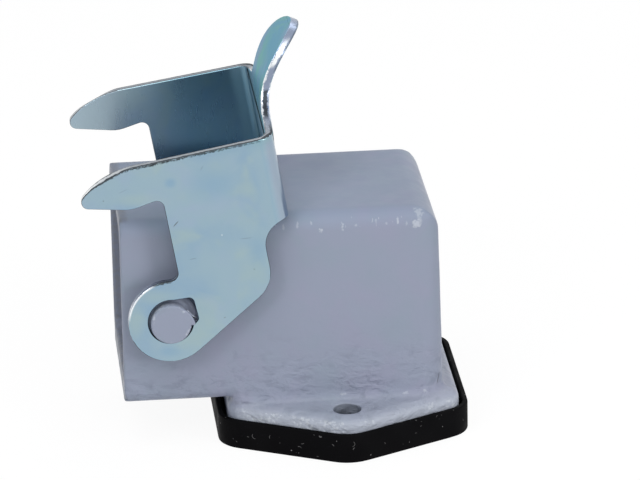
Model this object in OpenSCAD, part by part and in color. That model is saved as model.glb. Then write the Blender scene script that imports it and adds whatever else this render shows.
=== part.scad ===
// Angled panel housing for a small industrial connector, with one locking lever.
// Millimetres, +Z up. The origin is midway between the two fixing holes, on the
// panel surface. The mating opening faces -X and the cable leaves through -Z.

/* [Housing] */
// Outside width of the square tube
tube_w = 23.6; // [20:0.1:24.4]
// Height of the tube's underside above the panel
tube_bottom_z = 5.8; // [5.6:0.1:8]
// Height of the top face above the panel
tube_top_z = 29.1; // [26:0.1:32]
// Reach of the mating face from the fixing axis
mating_reach = 26.4; // [24:0.1:32]
// Step from the flange's edge to the foot of the back wall
back_step = 1.8; // [1.2:0.1:4]
// Lean of the back wall, for the mould
back_draft = 1.4; // [0:0.1:4]
// Step from the flange's edge to the block's front wall
front_step = 0.6; // [0.4:0.1:2]
// Wall thickness
wall = 2.0; // [1.5:0.1:3]
// Radius of the tube's long outer edges
edge_r = 2.0; // [0.5:0.1:3]
// Radius of the block's upright corners at the back
corner_r = 3.0; // [1:0.1:4]
// Radius of the block's upright corners at the front
front_r = 1.0; // [0.5:0.1:2]
// Radius of the edge between top face and back wall
back_edge_r = 3.2; // [1:0.1:4]
// Radius of the cavity's corners
cavity_r = 1.5; // [0.5:0.1:3]
// Radius of the cove where the block meets the flange
foot_r = 1.2; // [0.4:0.1:2]

/* [Flange] */
// Distance between the two fixing holes
hole_pitch = 30; // [29:0.1:34]
// Diameter of a fixing hole
hole_d = 3.2; // [2.8:0.1:4]
// Flange width along the mating axis
flange_w = 28.0; // [26:0.1:30]
// Untrimmed point of the flange beyond the hole's axis
flange_point_step = 3.8; // [3.4:0.1:6]
// How far the flange's straight sides stop short of the tube's sides
flange_side_step = 0.4; // [0:0.1:2]
// Radius at the flange's points
flange_point_r = 4.4; // [2:0.1:6]
// Radius at the flange's side corners
flange_corner_r = 2.4; // [1:0.1:3]
// Flange thickness
flange_t = 3.4; // [2.5:0.1:3.5]

/* [Gasket] */
// Thickness of rubber under the flange
gasket_floor_t = 2.0; // [1:0.1:2.1]
// Height of the rim that stands round the flange
gasket_lip_h = 1.6; // [0.8:0.1:2.5]
// Thickness of that rim
gasket_lip_t = 0.65; // [0.5:0.05:1]
// Gap between rim and flange at the straight sides
gasket_side_gap = 0.5; // [0.45:0.05:1.5]
// Gap between rim and flange at the slanted sides
gasket_slant_gap = 0.06; // [0.04:0.01:0.5]
// How much tighter the rim turns than the flange at its points
gasket_point_ease = 0.85; // [0:0.05:1.5]
// How much wider the rim turns than the flange at its side corners
gasket_corner_ease = 0.9; // [0:0.05:1]

/* [Pivot pegs] */
// Distance of the peg axis behind the mating face
pivot_back = 5.65; // [5:0.05:8]
// Height of the peg axis above the panel
pivot_z = 17.6; // [16:0.05:19]
// Peg diameter
peg_d = 4.8; // [4:0.1:5.6]
// How far the peg shows outside the lever
peg_proud = 0.6; // [0.4:0.05:1]
// How far the small retaining nose stands out of the peg's side
nose_proud = 0.5; // [0.2:0.05:0.6]
// Gap between nose and lever
nose_gap = 0.2; // [0.15:0.01:0.3]
// Angle of the nose's steep end, as the lever rests
nose_from = -4; // [-6:1:0]
// Angle at which the nose runs out into the peg
nose_to = 58; // [30:1:80]
// Width of the raised seat round the peg's root
seat_rim = 0.8; // [0.4:0.1:1.5]

/* [Lever] */
// Sheet thickness
sheet_t = 1.0; // [0.8:0.1:1.5]
// Gap between the housing's side and a plate, at the peg axis
lever_gap = 2.1; // [1.5:0.1:3]
// Lean of each plate, which opens the lever towards its hooks
plate_splay = 1.8; // [0:0.1:3]
// Outside radius of the two bends
bend_r = 1.9; // [1.7:0.1:3]
// Turn of the lever at rest from its square position
rest_angle = 9.6; // [4:0.1:15]
// Width of metal round the eye
eye_rim = 2.35; // [1.5:0.05:3]
// Radial play of the eye on the peg
peg_play = 0.3; // [0.1:0.05:0.5]
// Depth of the lobe that lets the nose through the eye
lobe_depth = 1.3; // [1.1:0.05:1.6]
// Height of the plates' top edge over the peg axis
lever_top = 19.9; // [19.2:0.1:24]
// Reach of the web's outer face from the peg axis
web_reach = 16.2; // [15:0.1:18]
// Gap between the web's lower edge and the housing's top at rest
web_gap = 0.35; // [0.3:0.05:1]
// Reach of the plates' back edge from the peg axis
plate_back = 12.8; // [11:0.1:14]
// Rise of the plates' lower edge
plate_rise = 30.9; // [20:0.1:36]
// Radius of the plates' lower back corner
plate_r = 4.0; // [2:0.1:6]
// Radius of the corner under the web
knee_r = 3.0; // [1:0.1:3]
// Reach of the mouth's closed side from the peg axis
mouth_back = 2.02; // [1.2:0.05:3]
// Radius between the mouth's closed side and the eye
mouth_r = 1.0; // [0.4:0.1:2]
// Height of the notch over the peg axis
notch_top = 15.35; // [14.9:0.05:17]
// Radius of the notch
notch_r = 0.9; // [0.3:0.05:1.4]
// Height of the hook's low point over the peg axis
hook_low = 14.75; // [12:0.05:15.2]
// Place of the hook's low point, before the peg axis
hook_heel = 1.8; // [1:0.1:3]
// Radius of the hook's low point
heel_r = 4.0; // [1:0.1:4.5]
// Untrimmed reach of the hook's tip from the peg axis
hook_reach = 8.96; // [7.5:0.05:11]
// Height of the hook's tip over the peg axis
hook_tip = 16.6; // [16:0.05:18]
// Radius of the hook's tip
tip_r = 0.85; // [0.3:0.05:1]
// Start of the hook's crown, before the peg axis
crown_start = 2.2; // [0:0.1:4]
// Radius of the hook's crown
crown_r = 6.0; // [2:0.1:8]

/* [Thumb tab] */
// Height at which the web starts to curl back
curl_start = 18.1; // [16:0.1:19]
// Radius of the curl, on the inner face
curl_r = 12.9; // [11:0.1:20]
// Length of sheet from the start of the curl to the tip
tab_length = 12.9; // [12:0.1:16]
// Width of the tab
tab_w = 10.6; // [8:0.1:12]
// Rise of the shoulders beside the tab
shoulder_rise = 1.6; // [0.5:0.1:2.5]
// Radius between shoulder and tab
shoulder_r = 2.5; // [1:0.1:3]

/* [Insert fixing] */
// Diameter of the post that holds the contact insert
post_d = 6.6; // [5:0.1:8]
// Diameter of the tapped hole in the post
post_hole_d = 2.5; // [2:0.1:3.3]
// Depth of that hole
post_hole_depth = 8; // [5:0.5:12]
// Depth of the post's end behind the mating face
post_depth = 22; // [18:0.5:26]

/* [Hidden] */
$fn = 72;
// Widest turn between two points of a round, and of the tab's curl
arc_step = 10;
curl_step = 3;
// Overlap of pieces that are joined, and overshoot of cuts
lap = 0.5;
cut = 1;
// How far the cove runs into the wall that it rises to
cove_sink = 0.06;
half_w = tube_w / 2;
hole_y = hole_pitch / 2;
flange_low_z = gasket_floor_t;
flange_top_z = flange_low_z + flange_t;
flange_half = flange_w / 2;
flange_point = hole_y + flange_point_step;
flange_side = half_w - flange_side_step;
flange_lean = atan2(flange_point - flange_side, flange_half);
back_reach = flange_half - back_step;
block_front = flange_half - front_step;
axis_z = (tube_bottom_z + tube_top_z) / 2;
// Back wall's place at a height
function back_x(z) = back_reach - (z - flange_top_z) * tan(back_draft);
cavity_back = back_x(tube_top_z) - wall;
cavity_half = half_w - wall;
pivot_x = pivot_back - mating_reach;
lever_half = half_w + lever_gap + sheet_t;
move_gap = 0.3;
seat_r = peg_d / 2 + seat_rim;
seat_out = plate_y(seat_r, sheet_t) - move_gap;
peg_out = lever_half + peg_proud;
// Outline of the nose, which grows out of the peg towards its steep end
nose_root_r = peg_d / 2 - 0.1;
nose_points = [
    for (t = [0 : 1 / 6 : 1.01])
        polar(nose_root_r + (nose_proud + 0.1) * t, -nose_to + (nose_to - nose_from) * t)
];
nose_low = lever_half + nose_gap;
eye_hole_r = peg_d / 2 + peg_play;
eye_r = eye_hole_r + eye_rim;
web_in = web_reach - sheet_t;
web_low = (tube_top_z + web_gap - pivot_z - web_in * sin(rest_angle)) / cos(rest_angle);
bend_mid = lever_half - web_reach * tan(plate_splay) - bend_r;
// Corners of the lobe about the peg axis: start, shallow, deep, end
lobe_turns = [-26.7, -8.3, 37.9, 87];
lobe_reaches = eye_hole_r * [1, 1, 1, 1] + lobe_depth * [-0.115, 0.47, 1, -0.065];
lobe_rounds = [0, 0.5, 0.7, 0];

// Flat helpers

function unit(v) = v / norm(v);
function turn(a, b) = a[0] * b[1] - a[1] * b[0];
function polar(r, angle) = r * [cos(angle), sin(angle)];

// Points along an arc, both ends included
function arc(centre, r, from, to, step = arc_step) =
    let(n = max(2, ceil(abs(to - from) / step)))
    [for (i = [0 : n]) centre + polar(r, from + (to - from) * i / n)];

// Points of one rounded corner, or the corner itself where its radius is 0
function corner_points(before, at, after, r) = r <= 0 ? [at] : let(
    u = unit(before - at),
    v = unit(after - at),
    half = acos(max(-1, min(1, u * v))) / 2,
    centre = at + unit(u + v) * (r / sin(half)),
    start = at + u * (r / tan(half)) - centre,
    from = atan2(start[1], start[0]),
    sweep = sign(turn(at - before, after - at)) * (180 - 2 * half)
) arc(centre, r, from, from + sweep);

// Outline with rounded corners, given counter-clockwise
function round_points(points, radii) = let(n = len(points)) [
    for (i = [0 : n - 1])
        each corner_points(points[(i + n - 1) % n], points[i], points[(i + 1) % n], radii[i])
];

module round_outline(points, radii) {
    polygon(round_points(points, radii));
}

module round_box(x0, x1, y0, y1, r) {
    round_outline([[x0, y0], [x1, y0], [x1, y1], [x0, y1]], [r, r, r, r]);
}

// Six-sided plate outline: straight sides along Y, points on the Y axis
module hex_outline(width, point, side, point_r, corner_r) {
    h = width / 2;
    round_outline(
        [[h, -side], [h, side], [0, point], [-h, side], [-h, -side], [0, -point]],
        [corner_r, corner_r, point_r, corner_r, corner_r, point_r]
    );
}

// Turns a drawing in X and Z into a body that is wide in Y
module across(width) {
    rotate([90, 0, 0]) linear_extrude(height = width, center = true) children();
}

// Turns a drawing in Y and Z into a body that runs along X
module along(x0, x1) {
    translate([x0, 0, 0]) rotate([90, 0, 90]) linear_extrude(height = x1 - x0) children();
}

// Housing

module side_outline() {
    round_outline(
        [
            [-mating_reach, flange_top_z - lap],
            [back_x(flange_top_z - lap), flange_top_z - lap],
            [back_x(tube_top_z), tube_top_z],
            [-mating_reach, tube_top_z]
        ],
        [0, 0, back_edge_r, 0]
    );
}

module shell() {
    intersection() {
        across(tube_w + 2 * cut) side_outline();
        union() {
            intersection() {
                along(-mating_reach, back_reach + cut)
                    round_box(-half_w, half_w, tube_bottom_z, tube_top_z, edge_r);
                linear_extrude(height = tube_top_z + cut)
                    round_outline(
                        [[-mating_reach, -half_w], [back_reach, -half_w],
                         [back_reach, half_w], [-mating_reach, half_w]],
                        [0, corner_r, corner_r, 0]
                    );
            }
            translate([0, 0, flange_top_z - lap])
                linear_extrude(height = axis_z - flange_top_z + lap)
                    round_outline(
                        [[-block_front, -half_w], [back_reach, -half_w],
                         [back_reach, half_w], [-block_front, half_w]],
                        [front_r, corner_r, corner_r, front_r]
                    );
        }
    }
}

module cavity() {
    along(-mating_reach - cut, cavity_back)
        round_box(-cavity_half, cavity_half, tube_bottom_z + wall, tube_top_z - wall, cavity_r);
    translate([0, 0, flange_low_z - cut])
        linear_extrude(height = axis_z - flange_low_z + cut)
            round_box(-block_front + wall, cavity_back, -cavity_half, cavity_half, cavity_r);
}

// Section of the cove at the block's foot
module cove() {
    translate([-cove_sink, 0]) polygon(concat(
        [[-lap, -lap], [foot_r, -lap]],
        arc([foot_r, foot_r], foot_r, 270, 180),
        [[-lap, foot_r]]
    ));
}

// Cove along one straight foot of the block
module foot_bar(length) {
    rotate([90, 0, 0]) linear_extrude(height = length, center = true) cove();
}

module foot_corner() {
    rotate_extrude(angle = 90) translate([corner_r, 0]) cove();
}

module foot() {
    x0 = -block_front + front_r;
    x1 = back_reach - corner_r;
    y1 = half_w - corner_r;
    intersection() {
        translate([0, 0, flange_top_z]) {
            translate([back_reach, 0, 0]) foot_bar(2 * y1);
            translate([(x0 + x1) / 2, half_w, 0]) rotate([0, 0, 90]) foot_bar(x1 - x0);
            translate([(x0 + x1) / 2, -half_w, 0]) rotate([0, 0, -90]) foot_bar(x1 - x0);
            translate([x1, y1, 0]) foot_corner();
            translate([x1, -y1, 0]) rotate([0, 0, -90]) foot_corner();
        }
        linear_extrude(height = tube_top_z)
            hex_outline(flange_w, flange_point, flange_side, flange_point_r, flange_corner_r);
    }
}

module flange_plate() {
    translate([0, 0, flange_low_z]) linear_extrude(height = flange_t)
        hex_outline(flange_w, flange_point, flange_side, flange_point_r, flange_corner_r);
}

// One peg with its seat and retaining nose, on the +Y side
module peg() {
    root = half_w - wall / 2;
    translate([pivot_x, 0, pivot_z]) rotate([-90, 0, 0]) {
        translate([0, 0, root]) cylinder(r = seat_r, h = seat_out - root);
        translate([0, 0, root]) cylinder(d = peg_d, h = peg_out - root);
        translate([0, 0, nose_low])
            linear_extrude(height = peg_out - nose_low)
                polygon(concat([[0, 0]], nose_points));
    }
}

module insert_post() {
    x0 = -mating_reach + post_depth;
    difference() {
        translate([x0, 0, axis_z]) rotate([0, 90, 0])
            cylinder(d = post_d, h = cavity_back + wall / 2 - x0);
        translate([x0 - cut, 0, axis_z]) rotate([0, 90, 0])
            cylinder(d = post_hole_d, h = post_hole_depth + cut);
    }
}

module housing_body() {
    color([0.55, 0.56, 0.62]) {
        difference() {
            union() {
                shell();
                flange_plate();
                foot();
            }
            cavity();
            for (s = [-1, 1])
                translate([0, s * hole_y, flange_low_z - cut])
                    cylinder(d = hole_d, h = flange_t + 2 * cut);
        }
        insert_post();
        peg();
        mirror([0, 1, 0]) peg();
    }
}

// Lever, drawn square about the peg axis: X to the web, Z up

// Side view of the plates and web, with the eye's outside and the hooks
module plate_outline() {
    low = tan(plate_rise) * plate_back - eye_r / cos(plate_rise);
    far = web_reach + cut;
    mouth_x = mouth_back - mouth_r;
    mouth_z = sqrt(pow(eye_r + mouth_r, 2) - pow(mouth_x, 2));
    touch = atan2(mouth_z, mouth_x);
    polygon(concat(
        corner_points(polar(eye_r, plate_rise - 90), [plate_back, low], [plate_back, web_low], plate_r),
        corner_points([plate_back, low], [plate_back, web_low], [far, web_low], knee_r),
        [[far, web_low], [far, lever_top]],
        corner_points([far, lever_top], [-crown_start, lever_top], [-hook_reach, hook_tip], crown_r),
        corner_points([-crown_start, lever_top], [-hook_reach, hook_tip], [-hook_heel, hook_low], tip_r),
        corner_points([-hook_reach, hook_tip], [-hook_heel, hook_low], [mouth_back, notch_top], heel_r),
        corner_points([-hook_heel, hook_low], [mouth_back, notch_top], [mouth_back, mouth_z], notch_r),
        arc([mouth_x, mouth_z], mouth_r, 0, touch - 180),
        arc([0, 0], eye_r, touch, plate_rise + 270)
    ));
}

// Hole for the peg, with the lobe that lets the nose pass
module eye_hole() {
    circle(r = eye_hole_r);
    round_outline(
        concat([for (i = [0 : 3]) polar(lobe_reaches[i], lobe_turns[i])], [[0, 0]]),
        concat(lobe_rounds, [0])
    );
}

// Half width of the lever's outside at a reach from the peg axis
function plate_y(u, inset) = lever_half - inset / cos(plate_splay) - u * tan(plate_splay);

// Plan of one side of the sheet, closed at the web
module channel_face(web_u, inset, r) {
    u0 = -hook_reach - cut - inset;
    round_outline(
        [
            [u0, -plate_y(u0, inset)],
            [web_u, -plate_y(web_u, inset)],
            [web_u, plate_y(web_u, inset)],
            [u0, plate_y(u0, inset)]
        ],
        [0, r, r, 0]
    );
}

// Plan of the two plates and the web between them
module channel_plan() {
    difference() {
        channel_face(web_reach, 0, bend_r);
        channel_face(web_in, sheet_t, bend_r - sheet_t);
    }
}

// Turn of the curl where the tab's round end is centred, and past the tip
end_turn = (tab_length - tab_w / 2) / curl_r * 180 / PI;
past_turn = end_turn + 40;
curl_u = web_in + curl_r;

// Side view of the tab's sheet, from the web round the curl
module tab_sheet() {
    centre = [curl_u, curl_start];
    low = curl_start - cut;
    polygon(concat(
        [[web_in, low], [web_reach, low]],
        arc(centre, curl_r - sheet_t, 180, 180 - past_turn, curl_step),
        arc(centre, curl_r, 180 - past_turn, 180, curl_step)
    ));
}

// Shoulders that run from the bends to the tab
module shoulder_outline() {
    h = tab_w / 2;
    foot_z = lever_top + shoulder_rise;
    top_z = foot_z + shoulder_r + lap;
    round_outline(
        [
            [-bend_mid, curl_start - cut],
            [bend_mid, curl_start - cut],
            [bend_mid, lever_top],
            [h, foot_z],
            [h, top_z],
            [-h, top_z],
            [-h, foot_z],
            [-bend_mid, lever_top]
        ],
        [0, 0, 0, shoulder_r, 0, 0, shoulder_r, 0]
    );
}

// Tongue with a round end, drawn about the centre of that end
module tongue_outline() {
    h = tab_w / 2;
    polygon(concat([[-2 * curl_r, -h]], arc([0, 0], h, -90, 90), [[-2 * curl_r, h]]));
}

module thumb_tab() {
    intersection() {
        across(lever_half * 2) tab_sheet();
        union() {
            translate([web_in - cut, 0, 0]) rotate([90, 0, 90])
                linear_extrude(height = curl_r) shoulder_outline();
            translate([curl_u, 0, curl_start]) rotate([0, end_turn - 90, 0])
                linear_extrude(height = curl_r + cut) tongue_outline();
        }
    }
}

module locking_lever() {
    wide = 2 * (lever_half + cut);
    color([0.62, 0.68, 0.72])
    translate([pivot_x, 0, pivot_z]) rotate([0, -rest_angle, 0]) {
        difference() {
            intersection() {
                translate([0, 0, -eye_r - cut])
                    linear_extrude(height = lever_top + eye_r + 2 * cut) channel_plan();
                across(wide) plate_outline();
            }
            across(wide) eye_hole();
            translate([web_in - lap, -bend_mid, curl_start])
                cube([sheet_t + 2 * lap, 2 * bend_mid, lever_top]);
        }
        thumb_tab();
    }
}

// Gasket

// Flange outline grown by the gap to the rim and by a thickness of rubber
module gasket_plan(extra) {
    half = flange_half + gasket_side_gap + extra;
    point = flange_point + (gasket_slant_gap + extra) / cos(flange_lean);
    hex_outline(
        2 * half,
        point,
        point - half * tan(flange_lean),
        max(0.3, flange_point_r - gasket_point_ease) + extra,
        flange_corner_r + gasket_corner_ease + extra
    );
}

module flange_gasket() {
    color([0.05, 0.05, 0.055])
    difference() {
        linear_extrude(height = gasket_floor_t + gasket_lip_h) gasket_plan(gasket_lip_t);
        translate([0, 0, gasket_floor_t]) linear_extrude(height = gasket_lip_h + cut)
            gasket_plan(0);
        translate([0, 0, -cut]) linear_extrude(height = gasket_floor_t + 2 * cut)
            round_box(-block_front + wall, cavity_back, -cavity_half, cavity_half, cavity_r);
        for (s = [-1, 1])
            translate([0, s * hole_y, -cut])
                cylinder(d = hole_d, h = gasket_floor_t + 2 * cut);
    }
}

housing_body();
locking_lever();
flange_gasket();
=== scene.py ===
"""Looks of an angled panel housing for a small industrial connector, with its locking lever."""
import logging
import math
from dataclasses import dataclass
from enum import Enum, IntEnum
from functools import cached_property, partial, reduce
from typing import Sequence

import bmesh
import bpy
from mathutils import Matrix, Vector


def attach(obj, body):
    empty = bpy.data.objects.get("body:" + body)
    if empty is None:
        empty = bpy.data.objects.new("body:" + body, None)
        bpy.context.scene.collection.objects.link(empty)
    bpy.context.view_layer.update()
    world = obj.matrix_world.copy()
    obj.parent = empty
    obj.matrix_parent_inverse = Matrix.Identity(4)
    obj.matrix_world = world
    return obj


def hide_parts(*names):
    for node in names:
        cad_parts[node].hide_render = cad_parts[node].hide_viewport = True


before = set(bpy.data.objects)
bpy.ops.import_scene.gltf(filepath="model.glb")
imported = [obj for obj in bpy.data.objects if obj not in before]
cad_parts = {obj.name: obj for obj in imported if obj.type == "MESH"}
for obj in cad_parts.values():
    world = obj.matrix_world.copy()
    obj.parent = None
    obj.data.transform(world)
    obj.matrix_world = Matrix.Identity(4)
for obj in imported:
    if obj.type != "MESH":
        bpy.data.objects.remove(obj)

LOG = logging.getLogger("connector_housing")
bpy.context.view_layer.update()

# A millimetre in metres, and a length without end in millimetres
MM = 0.001
ENDLESS = 1e6

# Pivot of the lever in millimetres, its lean at rest in degrees, and the turn into its own frame
PIVOT = (-20.75, 0.0, 17.6)
LEAN = 9.6
TURNED = Matrix.Rotation(math.radians(LEAN), 3, "Y")

# Middle of the dressed pegs, and distance of a fixing hole from the middle, in millimetres
PEG = (-20.75, 0.0, 17.4)
HOLE_REACH = 15.0

# Distances in metres: points that count as one, and points that lie on a cutting plane
SAME_POINT = 2e-6
ON_PLANE = 1e-7

Socket = bpy.types.NodeSocket
Value = Socket | float
Colour = tuple[float, float, float]
Tint = Socket | Colour
Spot = tuple[float, float, float]
Span = tuple[float, float]
Mark = tuple[Spot, Spot, float]
Scratch = tuple[Spot, Spot, float, float]
Limits = tuple[tuple[str | float, ...], ...]


class Body(Enum):
    """Bodies that a piece can ride on."""

    HOUSING = "housing"
    LEVER = "lever"


class Node(Enum):
    """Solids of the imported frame."""

    HOUSING = "housing_body"
    LEVER = "locking_lever"
    GASKET = "flange_gasket"


class Slot(Enum):
    """Material slots of the record."""

    GREY_COAT = "grey_coated_casting"
    ZINC = "zinc_plated_sheet"
    RUBBER = "black_rubber"


class Skin(IntEnum):
    """Materials of the lever in their order."""

    PLATED = 0
    CUT = 1
    TAB = 2


class NodeBench:
    """Lays out the nodes of one material, with lengths in millimetres."""

    FIRST_COLOUR = 6
    SECOND_COLOUR = 7
    MIXED_COLOUR = 2

    def __init__(self, name: str) -> None:
        """Makes an empty material with a Principled shader and an output.

        Args:
            name: Name of the material.
        """
        self.material = bpy.data.materials.new(name)
        self.material.use_nodes = True
        self.tree = self.material.node_tree
        self.tree.nodes.clear()
        self.shader = self.make("BsdfPrincipled", {})
        self.output = self.make("OutputMaterial", {"Surface": self.shader.outputs["BSDF"]})
        self.coords = self.make("TexCoord", {}).outputs["Object"]

    def make(
        self, kind: str, inputs: dict[str | int, Value | Sequence[float]], **choices: str
    ) -> bpy.types.Node:
        """Adds a node.

        Args:
            kind: Type of the shader node.
            inputs: Constants or sockets, by the name or number of the input.
            **choices: Properties of the node.

        Returns:
            The node.
        """
        node = self.tree.nodes.new("ShaderNode" + kind)
        for name, choice in choices.items():
            setattr(node, name, choice)
        for key, value in inputs.items():
            self.feed(node.inputs[key], value)
        return node

    def feed(self, target: Socket, value: Value | Sequence[float]) -> None:
        """Sets a socket to a constant, or links it where the value is a socket.

        Args:
            target: Socket that takes the value.
            value: Another socket, a number or a tuple.
        """
        if isinstance(value, Socket):
            self.tree.links.new(value, target)
        else:
            target.default_value = value

    def mapped(self, stretch: Spot, turn: Spot = (0.0, 0.0, 0.0)) -> Socket:
        """Gives Object coordinates that are turned by angles in degrees and then scaled."""
        inputs = {"Vector": self.coords, "Scale": stretch, "Rotation": [math.radians(a) for a in turn]}
        return self.make("Mapping", inputs).outputs["Vector"]

    def noise(
        self,
        grain: float,
        detail: float = 2.0,
        rough: float = 0.5,
        warp: float = 0.0,
        coords: Socket | None = None,
    ) -> Socket:
        """Adds noise whose blobs are about as large as the grain.

        Args:
            grain: Size of a blob in millimetres.
            detail: Number of finer layers.
            rough: Strength of the finer layers.
            warp: Distortion.
            coords: Coordinates, or None for plain Object coordinates.

        Returns:
            The noise value, from 0 to 1.
        """
        inputs = {"Vector": coords or self.coords, "Scale": 1.0 / (grain * MM)}
        layers = {"Detail": detail, "Roughness": rough, "Distortion": warp}
        return self.make("TexNoise", inputs | layers).outputs["Fac"]

    def cells(self, grain: float, coords: Socket) -> Socket:
        """Scatters points a grain apart, and gives the distance to the nearest as a share of the grain."""
        return self.make("TexVoronoi", {"Vector": coords, "Scale": 1.0 / (grain * MM)}).outputs["Distance"]

    def span(
        self, value: Socket, low: float, high: float, to_low: float = 0.0, to_high: float = 1.0
    ) -> Socket:
        """Maps the span from low to high onto the span from to_low to to_high, smoothly and clamped."""
        inputs = {"Value": value, "From Min": low, "From Max": high, "To Min": to_low, "To Max": to_high}
        return self.make("MapRange", inputs, interpolation_type="SMOOTHSTEP").outputs["Result"]

    def zone(self, limits: Limits) -> Socket:
        """Gives 1 inside soft limits, each told by a coordinate of the bench and its ends as in span."""
        return self.times(*(self.span(getattr(self, name), *ends) for name, *ends in limits))

    def without(self, mask: Socket) -> Socket:
        """Turns a mask round: 1 outside it and 0 inside."""
        return self.span(mask, 1.0, 0.0)

    def maths(self, operation: str, a: Value, b: Value = 0.0) -> Socket:
        """Gives the result of a Math node."""
        return self.make("Math", {0: a, 1: b}, operation=operation).outputs["Value"]

    def times(self, *values: Value) -> Socket:
        """Multiplies values with one another."""
        return reduce(partial(self.maths, "MULTIPLY"), values)

    def most(self, a: Value, b: Value) -> Socket:
        """Gives the larger of two values."""
        return self.maths("MAXIMUM", a, b)

    def blend(self, share: Socket, below: Tint, above: Tint, mode: str = "MIX") -> Socket:
        """Mixes two colours.

        Args:
            share: Share of the second colour.
            below: First colour.
            above: Second colour.
            mode: Blend mode.

        Returns:
            The mixed colour.
        """
        inputs = {"Factor": share, self.FIRST_COLOUR: below, self.SECOND_COLOUR: above}
        full = {key: (*tint, 1.0) if isinstance(tint, tuple) else tint for key, tint in inputs.items()}
        return self.make("Mix", full, data_type="RGBA", blend_type=mode).outputs[self.MIXED_COLOUR]

    def coats(self, colour: Tint, *layers: tuple[Socket, Tint]) -> Socket:
        """Lays tints over a colour, one after another.

        Args:
            colour: Colour below.
            *layers: Share and tint of each layer.

        Returns:
            The colour on top.
        """
        for share, tint in layers:
            colour = self.blend(share, colour, tint)
        return colour

    def placed(self, centre: Spot, size: Spot = (1.0, 1.0, 1.0), turn: float = 0.0) -> Socket:
        """Gives coordinates about a place, turned about Y and divided by a size.

        Args:
            centre: Place in millimetres.
            size: Unit on each axis in millimetres.
            turn: Angle about Y in degrees, upwards from X.

        Returns:
            The coordinates.
        """
        inputs = {
            "Vector": self.coords,
            "Location": [v * MM for v in centre],
            "Rotation": (0.0, math.radians(-turn), 0.0),
            "Scale": [v * MM for v in size],
        }
        return self.make("Mapping", inputs, vector_type="TEXTURE").outputs["Vector"]

    def split(self, coords: Socket) -> Sequence[Socket]:
        """Gives the three axes of coordinates."""
        return self.make("SeparateXYZ", {"Vector": coords}).outputs

    def length(self, coords: Socket) -> Socket:
        """Gives the distance of coordinates from their origin."""
        return self.make("VectorMath", {0: coords}, operation="LENGTH").outputs["Value"]

    def spot(self, centre: Spot, size: Spot, turn: float = 0.0, core: float = 0.6) -> Socket:
        """Gives 1 in the core of an ellipsoid with these half axes, falling to 0 at its surface."""
        return self.span(self.length(self.placed(centre, size, turn)), 1.0, core)

    def off_line(self, centre: Spot, along: int) -> Socket:
        """Gives the distance in millimetres from the line through a place along one axis."""
        size = tuple(ENDLESS if index == along else 1.0 for index in range(3))
        return self.length(self.placed(centre, size))

    def past(self, coords: Socket, normal: Spot, level: float) -> Socket:
        """Tells how far coordinates lie outside the plane with this normal and distance from the origin."""
        node = self.make("VectorMath", {0: coords, 1: normal}, operation="DOT_PRODUCT")
        return self.maths("SUBTRACT", node.outputs["Value"], level)

    def attribute(self, name: str) -> Socket:
        """Gives a value that the mesh carries at its points."""
        return self.make("Attribute", {}, attribute_name=name).outputs["Fac"]

    def bump(
        self, height: Socket, depth: float, strength: float, under: Socket | None = None
    ) -> Socket:
        """Adds a bump with its depth in millimetres, over another normal where there is one."""
        inputs = {"Height": height, "Distance": depth * MM, "Strength": strength}
        return self.make("Bump", inputs | ({"Normal": under} if under else {})).outputs["Normal"]

    def finish(self, **sockets: Value | Sequence[float]) -> bpy.types.Material:
        """Feeds the shader's sockets.

        Args:
            **sockets: Values by socket name, with _ for a space.

        Returns:
            The finished material.
        """
        for name, value in sockets.items():
            self.feed(self.shader.inputs[name.replace("_", " ")], value)
        return self.material


class CastingBench(NodeBench):
    """A bench that knows places on the casting, in millimetres."""

    def __init__(self, name: str) -> None:
        """Makes the material and takes its coordinates.

        Args:
            name: Name of the material.
        """
        super().__init__(name)
        self.along, across, self.height = self.split(self.placed((0.0, 0.0, 0.0)))
        self.width = self.maths("ABSOLUTE", across)
        self.off_peg = self.off_line(PEG, 1)
        near, far = (self.off_line((0.0, side * HOLE_REACH, 0.0), 2) for side in (-1.0, 1.0))
        self.off_hole = self.maths("MINIMUM", near, far)


class LeverBench(NodeBench):
    """A bench that knows places in the lever's own square frame, in millimetres, and in its sheet."""

    def __init__(self, name: str) -> None:
        """Makes the material and lays the frame at the pivot.

        Args:
            name: Name of the material.
        """
        super().__init__(name)
        self.own = self.placed(PIVOT, turn=LEAN)
        self.reach, _, self.rise = self.split(self.own)
        _, self.across, self.height = self.split(self.placed((0.0, 0.0, 0.0)))
        self.depth = self.attribute("sheet_depth")

    @cached_property
    def off_pivot(self) -> Socket:
        """Distance from the pivot's axis."""
        return self.off_line(PIVOT, 1)

    @cached_property
    def inner(self) -> Socket:
        """Mask of the inner face."""
        return self.span(self.depth, 0.3, 0.6)

    @cached_property
    def outer(self) -> Socket:
        """Mask of the outer face."""
        return self.without(self.inner)

    @cached_property
    def ragged(self) -> Socket:
        """Depth in the sheet, moved to and fro as a cut tears it."""
        return self.maths("ADD", self.depth, self.span(self.noise(0.6, 4, 0.7), 0.3, 0.7, -0.12, 0.12))


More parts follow.
